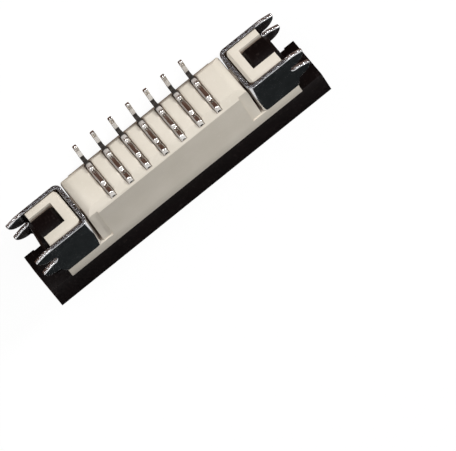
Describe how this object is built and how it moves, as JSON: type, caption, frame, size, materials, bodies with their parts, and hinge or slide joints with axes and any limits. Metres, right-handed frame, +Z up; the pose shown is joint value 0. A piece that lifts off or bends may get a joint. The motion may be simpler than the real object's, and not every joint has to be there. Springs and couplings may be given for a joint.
{
  "type": "fpc connector",
  "caption": "Right-angle surface-mount connector for a flat flexible cable, with a sliding lock, solder tails in a row and a fitting nail at each end.",
  "frame": {"origin": "bottom centre of the whole connector, on the board's surface", "axes": "+X along the contact row, +Y towards the solder tails with the cable entering from -Y, +Z up from the board"},
  "size_m": [0.0154, 0.0066, 0.0026],
  "materials": {
    "housing_resin": "satin moulded cream resin",
    "slider_resin": "satin moulded black resin",
    "nail_plating": "bright tin plate on stamped strip",
    "contact_plating": "bright tin plate on stamped strip"
  },
  "bodies": {
    "base": {"housing": "housing_resin", "left_fitting_nail": "nail_plating", "right_fitting_nail": "nail_plating", "contact_1": "contact_plating", "contact_2": "contact_plating", "contact_3": "contact_plating", "contact_4": "contact_plating", "contact_5": "contact_plating", "contact_6": "contact_plating", "contact_7": "contact_plating"},
    "lock": {"slider": "slider_resin"}
  },
  "joints": [
    {"name": "slider_slide", "type": "slide", "parent": "base", "child": "lock", "axis": [0, -1, 0], "range_m": [0, 0.0015]}
  ]
}
